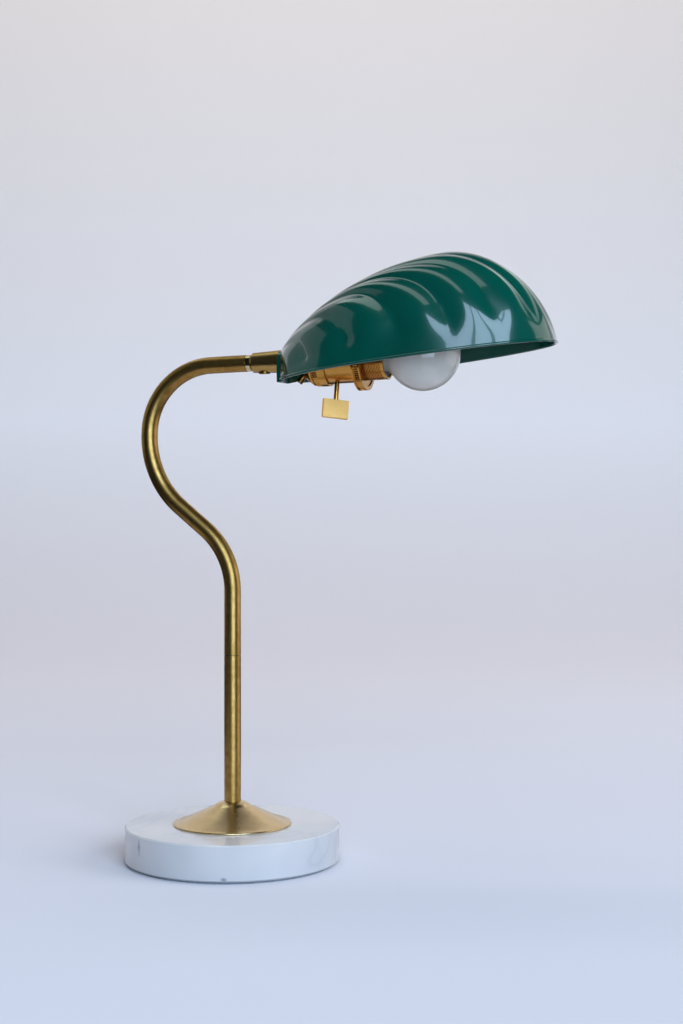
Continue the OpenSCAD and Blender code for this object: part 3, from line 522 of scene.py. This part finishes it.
def makeClearGlass():
    # soda glass stem inside the bulb: clear with a cool edge
    mat = newMaterial("soda glass, drawn")
    coords = addNode(mat, "TexCoord")
    streaks = addNode(mat, "TexNoise", {"Scale": 1000 / 4, "Detail": 1.0},
                      {"Vector": (coords, "Object")})
    tint = addNode(mat, "ValToRGB", links={"Fac": (streaks, "Fac")})
    setRamp(tint, [(0.2, hexColor("#dcebea")), (0.8, hexColor("#f1f7f6"))])
    skin = addNode(mat, "BsdfPrincipled", {"Roughness": 0.05, "IOR": 1.5, "Transmission Weight": 0.9},
                   {"Base Color": (tint, "Color")})
    addNode(mat, "OutputMaterial", links={"Surface": (skin, "BSDF")})
    return mat


enamel = makeEnamel()
marble = makeMarble()
opalGlass = makeOpal()
sodaGlass = makeClearGlass()
print("materials ready")


# head frame

tip = Vector(joints["head_roll"]["pos_m"])
headAxis = Vector(joints["head_roll"]["axis"]).normalized()
headTilt = math.atan2(headAxis.z, headAxis.x)
head = {"turn": 1.7}            # degrees that the head rests rolled
headFrame = (Matrix.Translation(tip) @ Matrix.Rotation(-headTilt, 4, "Y")
             @ Matrix.Rotation(math.radians(head["turn"]), 4, "X"))
# the same frame with Z along the axis, for turned pieces
lathe = headFrame @ Matrix.Rotation(math.pi / 2, 4, "Y")


# shade

shade = {
    "back": 0.0273,             # from the end of the arm tube to the back wall
    "length": 0.207,
    "width": 0.116,
    "height": 0.0765,
    "wall": 0.0012,
    "rimDrop": 0.0162,
    "rimSlope": 5.1,
    "backWidth": 0.012,         # half width of the flat at the back
    "backHeight": 0.024,
    "collar": 0.002,
    "lift": 0.0016,
    "widest": 0.395,            # as shares of the dome's length
    "crown": 0.607,
    "valleys": [0, 7, 14, 20.5, 28.5, 41, 58, 78],
    "fluteShare": 0.09,
    "rimFade": 0.96,            # the flutes run out from here to the rim
    "softness": 0.12,           # how round the valley between two flutes is
    "linesPerFlute": 12,
    "rows": 64,
    "bead": 0.0011,             # radius of the roll along the rim
    "backCurve": 1.92,          # exponents: rim behind its widest place and in front of it,
    "frontCurve": 2.37,
    "climb": 1.96,              # the middle line up to the crown,
    "climbEnd": 1.16,
    "fallEnd": 1.6,             # down from it,
    "crossCurve": 2.3,          # and the dome across
}
shade["dome"] = shade["length"] - shade["collar"]


def rimWidth(x):
    # half width of the rim at x along the dome
    s = shade
    wide = s["widest"] * s["dome"]
    if x < wide:
        n = s["backCurve"]
        extra = wide * ((1 - (2 * s["backWidth"] / s["width"]) ** n) ** (-1 / n) - 1)
        return s["width"] / 2 * (1 - ((wide - x) / (wide + extra)) ** n) ** (1 / n)
    n = s["frontCurve"]
    return s["width"] / 2 * max(0, 1 - ((x - wide) / (s["dome"] - wide)) ** n) ** (1 / n)


def domeHeight(x):
    # height of the middle of the dome at x
    s = shade
    crown = s["crown"] * s["dome"]
    if x < crown:
        share = (1 - ((crown - x) / crown) ** s["climb"]) ** (1 / s["climbEnd"])
        return s["backHeight"] + (s["height"] - s["backHeight"]) * share
    return s["height"] * max(0, 1 - ((x - crown) / (s["dome"] - crown)) ** 2) ** (1 / s["fallEnd"])


def rimDistance(angle):
    low, high = 0.0, shade["dome"] * 1.2
    for _ in range(40):
        mid = (low + high) / 2
        x, y = mid * math.cos(angle), mid * math.sin(angle)
        inside = x < shade["dome"] and y < rimWidth(x)
        low, high = (mid, high) if inside else (low, mid)
    return low


def domePoint(degrees, u, far):
    # smooth dome on the fan line of this angle, u from 0 at the back to 1 at the rim
    s = shade
    most = s["valleys"][-1]
    size = abs(degrees)
    angle = math.radians(size)
    y0 = s["backWidth"] * size / most
    x = far * math.cos(angle) * u
    y = y0 + (far * math.sin(angle) - y0) * u
    share = min(1.0, y / max(rimWidth(x), 1e-9))
    if u >= 1:
        z = s["lift"]
    elif size >= most:
        z = s["lift"] * u
    else:
        across = max(0, 1 - share ** s["crossCurve"]) ** (1 / s["crossCurve"])
        z = s["lift"] + (domeHeight(x) - s["lift"]) * across
    return Vector((x, math.copysign(y, degrees), z))


def shadePoint(line, u, far, widths):
    # domePoint with its flute pressed in
    s = shade
    per = s["linesPerFlute"]
    middle = (len(s["valleys"]) - 1) * per
    k = abs(line - middle)
    lobe = min(k // per, len(s["valleys"]) - 2)
    t = k / per - lobe
    degrees = s["valleys"][lobe] + (s["valleys"][lobe + 1] - s["valleys"][lobe]) * t
    p = domePoint(math.copysign(max(degrees, 1e-6), line - middle + 0.001), u, far)
    soft = s["softness"]
    ridge = (math.hypot(math.sin(math.pi * t), soft) - soft) / (math.hypot(1, soft) - soft)
    fade = 1 - ((u - s["rimFade"]) / (1 - s["rimFade"])) ** 2 if u > s["rimFade"] else 1
    inward = (Vector((s["dome"] / 2, 0, 0)) - p).normalized()
    return p + inward * (s["fluteShare"] * widths[lobe] * u * (1 - ridge) * fade)


def makeShade():
    s = shade
    per = s["linesPerFlute"]
    lobes = len(s["valleys"]) - 1
    lines = 2 * lobes * per
    fars = []
    for line in range(lines + 1):
        k = abs(line - lobes * per)
        lobe = min(k // per, lobes - 1)
        t = k / per - lobe
        fars.append(rimDistance(math.radians(
            s["valleys"][lobe] + (s["valleys"][lobe + 1] - s["valleys"][lobe]) * t)))
    ends = [domePoint(v, 1, rimDistance(math.radians(v))) for v in s["valleys"]]
    widths = [(a - b).length for a, b in zip(ends, ends[1:])]

    # a flat grid is the sheet, then each of its points goes to its place on the pressed dome
    deselectAll()
    bpy.ops.mesh.primitive_grid_add(x_subdivisions=lines, y_subdivisions=s["rows"] + 1, size=1)
    shell = bpy.context.object
    rowCount = s["rows"] + 1
    for v in shell.data.vertices:
        line = round((v.co.x + 0.5) * lines)
        row = round((v.co.y + 0.5) * rowCount)
        if row == 0:                       # collar behind the dome
            p = shadePoint(line, 0, fars[line], widths) - Vector((s["collar"], 0, 0))
        else:
            u = (1 - math.cos(math.pi * (row - 1) / s["rows"])) / 2
            p = shadePoint(line, u, fars[line], widths)
        slope = (p.x + s["collar"]) * math.tan(math.radians(s["rimSlope"]))
        v.co = (p.x + s["collar"], p.y, p.z + slope)
    rimPoints = [shell.data.vertices[i].co.copy() for i in range(len(shell.data.vertices))
                 if i >= rowCount * (lines + 1)]

    # the back wall closes the open end of the sheet
    pick(shell)
    for edge in shell.data.edges:
        edge.select = all(abs(shell.data.vertices[i].co.x) < 1e-7 for i in edge.vertices)
    for poly in shell.data.polygons:
        poly.select = False
    for v in shell.data.vertices:
        v.select = abs(v.co.x) < 1e-7
    bpy.ops.object.mode_set(mode="EDIT")
    bpy.ops.mesh.select_mode(type="EDGE")
    bpy.ops.mesh.edge_face_add()
    bpy.ops.mesh.inset(thickness=0.0015)
    bpy.ops.mesh.select_all(action="SELECT")
    bpy.ops.mesh.remove_doubles(threshold=1e-6)
    bpy.ops.mesh.normals_make_consistent(inside=False)
    bpy.ops.object.mode_set(mode="OBJECT")
    wall = shell.modifiers.new("wall", "SOLIDIFY")
    wall.thickness = s["wall"]
    wall.offset = -1
    applyModifiers(shell)

    # the rim's sheet is rolled round a wire
    curve = bpy.data.curves.new("bead", "CURVE")
    curve.dimensions = "3D"
    curve.bevel_depth = s["bead"]
    curve.bevel_resolution = 5
    curve.use_fill_caps = True
    spline = curve.splines.new("POLY")
    spline.points.add(len(rimPoints) - 1)
    for point, co in zip(spline.points, rimPoints):
        point.co = (co.x, co.y, co.z - s["bead"] * 0.3, 1)
    bead = bpy.data.objects.new("bead", curve)
    bpy.context.scene.collection.objects.link(bead)
    pick(bead)
    bpy.ops.object.convert(target="MESH")
    bead = bpy.context.object
    pick(shell)
    bead.select_set(True)
    bpy.ops.object.join()
    place(shell, headFrame @ Matrix.Translation((s["back"], 0, -s["rimDrop"])))
    smooth(shell, 50)
    finishPiece(shell, "shadeShell", "head", enamel, ["shade"])
    return shell


shadeShell = makeShade()
print("shade ready:", len(shadeShell.data.polygons), "faces")


# turned pieces

def spinPiece(profile, frameMatrix, steps=96, closed=False):
    # profile is (radius, height) from one end to the other, turned round Z
    deselectAll()
    bpy.ops.mesh.primitive_plane_add(size=0.001)
    obj = bpy.context.object
    bpy.ops.object.mode_set(mode="EDIT")
    mesh = bmesh.from_edit_mesh(obj.data)
    bmesh.ops.delete(mesh, geom=list(mesh.verts), context="VERTS")
    verts = [mesh.verts.new((r, 0, z)) for r, z in profile]
    for a, b in zip(verts, verts[1:] + (verts[:1] if closed else [])):
        mesh.edges.new((a, b))
    bmesh.update_edit_mesh(obj.data)
    bpy.ops.mesh.select_all(action="SELECT")
    bpy.ops.mesh.spin(steps=steps, angle=math.tau, center=(0, 0, 0), axis=(0, 0, 1))
    bpy.ops.mesh.select_all(action="SELECT")
    bpy.ops.mesh.remove_doubles(threshold=1e-6)
    bpy.ops.mesh.normals_make_consistent(inside=False)
    bpy.ops.object.mode_set(mode="OBJECT")
    place(obj, frameMatrix)
    return obj


def along(point):
    # distance of a row point along the head's axis from the end of the arm tube
    return (Vector(point) - tip).dot(headAxis)


# bulb

bulb = {
    "radius": 0.0275,
    "neck": 0.0119,
    "wall": 0.0009,
    "blend": 0.006,             # fillet between globe and neck
    "tuck": 0.0065,             # how far the neck reaches back into the cap
    "filletSteps": 10,
    "globeSteps": 60,
}


def makeBulb():
    low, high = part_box("bulb_glass")
    far = along((high.x, tip.y, tip.z + (high.x - tip.x) * math.tan(headTilt)))
    b = bulb
    centre = far - b["radius"]
    capLow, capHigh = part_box("bulb_cap")
    start = along((capHigh.x, tip.y, capHigh.z - (capHigh.z - capLow.z) / 2)) - b["tuck"]
    # fillet circle touches both the neck's line and the globe
    f = b["blend"]
    reach = math.sqrt((b["radius"] + f) ** 2 - (b["neck"] + f) ** 2)
    joinAngle = math.atan2(b["neck"] + f, reach)
    outer = [(b["neck"], start), (b["neck"], centre - reach)]
    for i in range(1, b["filletSteps"] + 1):
        a = (math.pi / 2 - joinAngle) * i / b["filletSteps"]
        outer.append((b["neck"] + f - f * math.cos(a), centre - reach + f * math.sin(a)))
    for i in range(1, b["globeSteps"]):
        a = joinAngle + (math.pi - joinAngle) * i / b["globeSteps"]
        outer.append((b["radius"] * math.sin(a), centre - b["radius"] * math.cos(a)))
    outer.append((0, centre + b["radius"]))
    globe = spinPiece(outer, lathe, 96)
    wall = globe.modifiers.new("wall", "SOLIDIFY")
    wall.thickness = b["wall"]
    wall.offset = -1
    applyModifiers(globe)
    smooth(globe, 50)
    finishPiece(globe, "bulbGlobe", "head", opalGlass, ["bulb_glass"])


makeBulb()
print("bulb ready")


# base cone

cone = {
    "radius": 0.0447,
    "wall": 0.0008,
    "height": 0.0176,
    "hem": 0.0007,              # rolled edge that stands on the marble
    "shoulder": 0.012,          # radius where the slope starts to round into the stem
    "seat": 0.0066,             # flat under the end of the stem
    "hole": 0.00476,
    "round": 0.0024,            # height of the rounding at the top
    "bow": 1.12,                # 1 would be a straight slope
    "slopeSteps": 25,
    "roundSteps": 8,
}


def makeCone():
    c = cone
    low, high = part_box("base_cone")
    slope = []
    for i in range(1, c["slopeSteps"]):
        t = i / c["slopeSteps"]
        r = c["radius"] + (c["shoulder"] - c["radius"]) * t
        slope.append((r, c["wall"] + (c["height"] - c["round"] - c["wall"]) * t ** c["bow"]))
    # the last quarter turn into the collar round the stem
    x0, z0 = slope[-1]
    for i in range(1, c["roundSteps"] + 1):
        a = math.pi / 2 * i / c["roundSteps"]
        pull = 0.55 + 0.45 * i / c["roundSteps"]     # starts slack, so the shoulder has no ring
        slope.append((x0 + (c["seat"] - x0) * math.sin(a) * pull,
                      z0 + (c["height"] - z0) * math.sin(a)))
    hem = [(c["radius"] - c["hem"] + c["hem"] * math.sin(a), c["hem"] * (1 - math.cos(a)))
           for a in (math.pi * k / 8 for k in range(1, 8))]
    inner = [(r - c["wall"] * 0.4, z - c["wall"]) for r, z in slope[3:]]
    outline = ([(c["radius"] - c["hem"], 0)] + hem + slope[1:] + [(c["hole"], c["height"])]
               + [(c["hole"], c["height"] - c["wall"])] + inner[::-1]
               + [(c["radius"] - 2 * c["hem"], c["wall"] * 0.5), (c["radius"] - 2 * c["hem"], 0)])
    piece = spinPiece(outline, Matrix.Translation((0, 0, low.z)), 128, closed=True)
    smooth(piece, 35)
    finishPiece(piece, "coneSpun", "base", spunBrass, ["base_cone"])


makeCone()
print("cone ready")


# thread in front of the shade ring

thread = {
    "crest": 0.0177,
    "depth": 0.00075,
    "pitch": 0.00115,
    "bore": 0.0163,
    "flange": 0.01805,
    "lip": 0.0014,              # plain lip at the front end
    "length": 0.02355,
    "flangeLength": 0.0015,
    "runIn": 0.0035,            # from the back end to the first groove
    "runOut": 0.0005,
    "easing": 0.0001,           # how far a crest's edges are eased
    "lipEasing": 0.0002,
    # places along one pitch: floor of the groove, its front edge, the crest
    "floor": (0.0001, 0.00038),
    "rise": (0.0005, 0.0006),
    "fall": (0.00095, 0.00105),
}


def makeThread():
    # the grooves run nearly square across, so that they hold a dark line each
    t = thread
    low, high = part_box("thread_tube")
    front = along((high.x, tip.y, tip.z + (high.x - tip.x) * math.tan(headTilt)))
    back = front - t["length"]
    root, eased, lipEased = t["crest"] - t["depth"], t["crest"] - t["easing"], t["crest"] - t["lipEasing"]
    flangeEnd, lipStart = back + t["flangeLength"], front - t["lip"]
    line = [(t["flange"], back), (t["flange"], flangeEnd), (t["crest"], flangeEnd)]
    at = back + t["runIn"]
    end = front - t["lip"] - t["runOut"]
    while at + t["pitch"] < end:
        line += [(root, at + t["floor"][0]), (root, at + t["floor"][1]),
                 (eased, at + t["rise"][0]), (t["crest"], at + t["rise"][1]),
                 (t["crest"], at + t["fall"][0]), (eased, at + t["fall"][1])]
        at += t["pitch"]
    line += [(root, at + t["floor"][0]), (root, lipStart),
             (lipEased, lipStart), (t["crest"], lipStart + t["lipEasing"]),
             (t["crest"], front - t["lipEasing"]), (lipEased, front), (t["bore"], front),
             (t["bore"], back)]
    piece = spinPiece(line, lathe, 96, closed=True)
    smooth(piece, 25)
    finishPiece(piece, "threadCut", "head", drawnBrass, ["thread_tube"])


makeThread()
print("thread ready")


# frame pieces that keep their own shape

finishes = {
    agedTube: ["stem_tube", "arm_tube"],
    turnedBrass: ["shade_sleeve"],
    paintedHighlightBrass: ["neck_spigot"],
    drawnBrass: ["socket_cap", "knurled_collar", "socket_shell", "thread_tube", "shade_ring",
                 "key_shaft"],
    rubbedBrass: ["key_plate"],
    shadedBrownBrass: ["sleeve_screw", "cap_screw"],
    brightBrass: ["base_nut", "swivel_spigot", "arm_bushing", "shade_washer", "shade_nut",
                  "terminal_screws", "screw_shell", "centre_contact"],
    zincSteel: ["base_washer", "lock_washer", "threaded_rod", "swivel_spring", "swivel_clip",
                "head_nipple"],
    darkWasher: ["swivel_washer", "neck_washer"],
    marble: ["marble_base"],
    woolFelt: ["felt_pad"],
    phenolic: ["cord_bushing", "switch_body"],
    brownPhenolic: ["switch_rotor"],
    whiteNylon: ["terminal_block"],
    cordPvc: ["base_harness", "arm_harness", "head_harness"],
    wirePvc: ["lead_wires"],
    fibreBoard: ["shell_liner"],
    porcelain: ["lamp_insulator"],
    capAluminium: ["bulb_cap"],
    vitrite: ["bulb_insulator"],
    tinSolder: ["bulb_tip"],
    sodaGlass: ["bulb_stem"],
    tungsten: ["filament"],
}
for mat, names in finishes.items():
    for name in names:
        setMaterial(nodes[name], mat)
        if name != "threaded_rod":
            smooth(nodes[name], 30)
print("frame pieces finished")
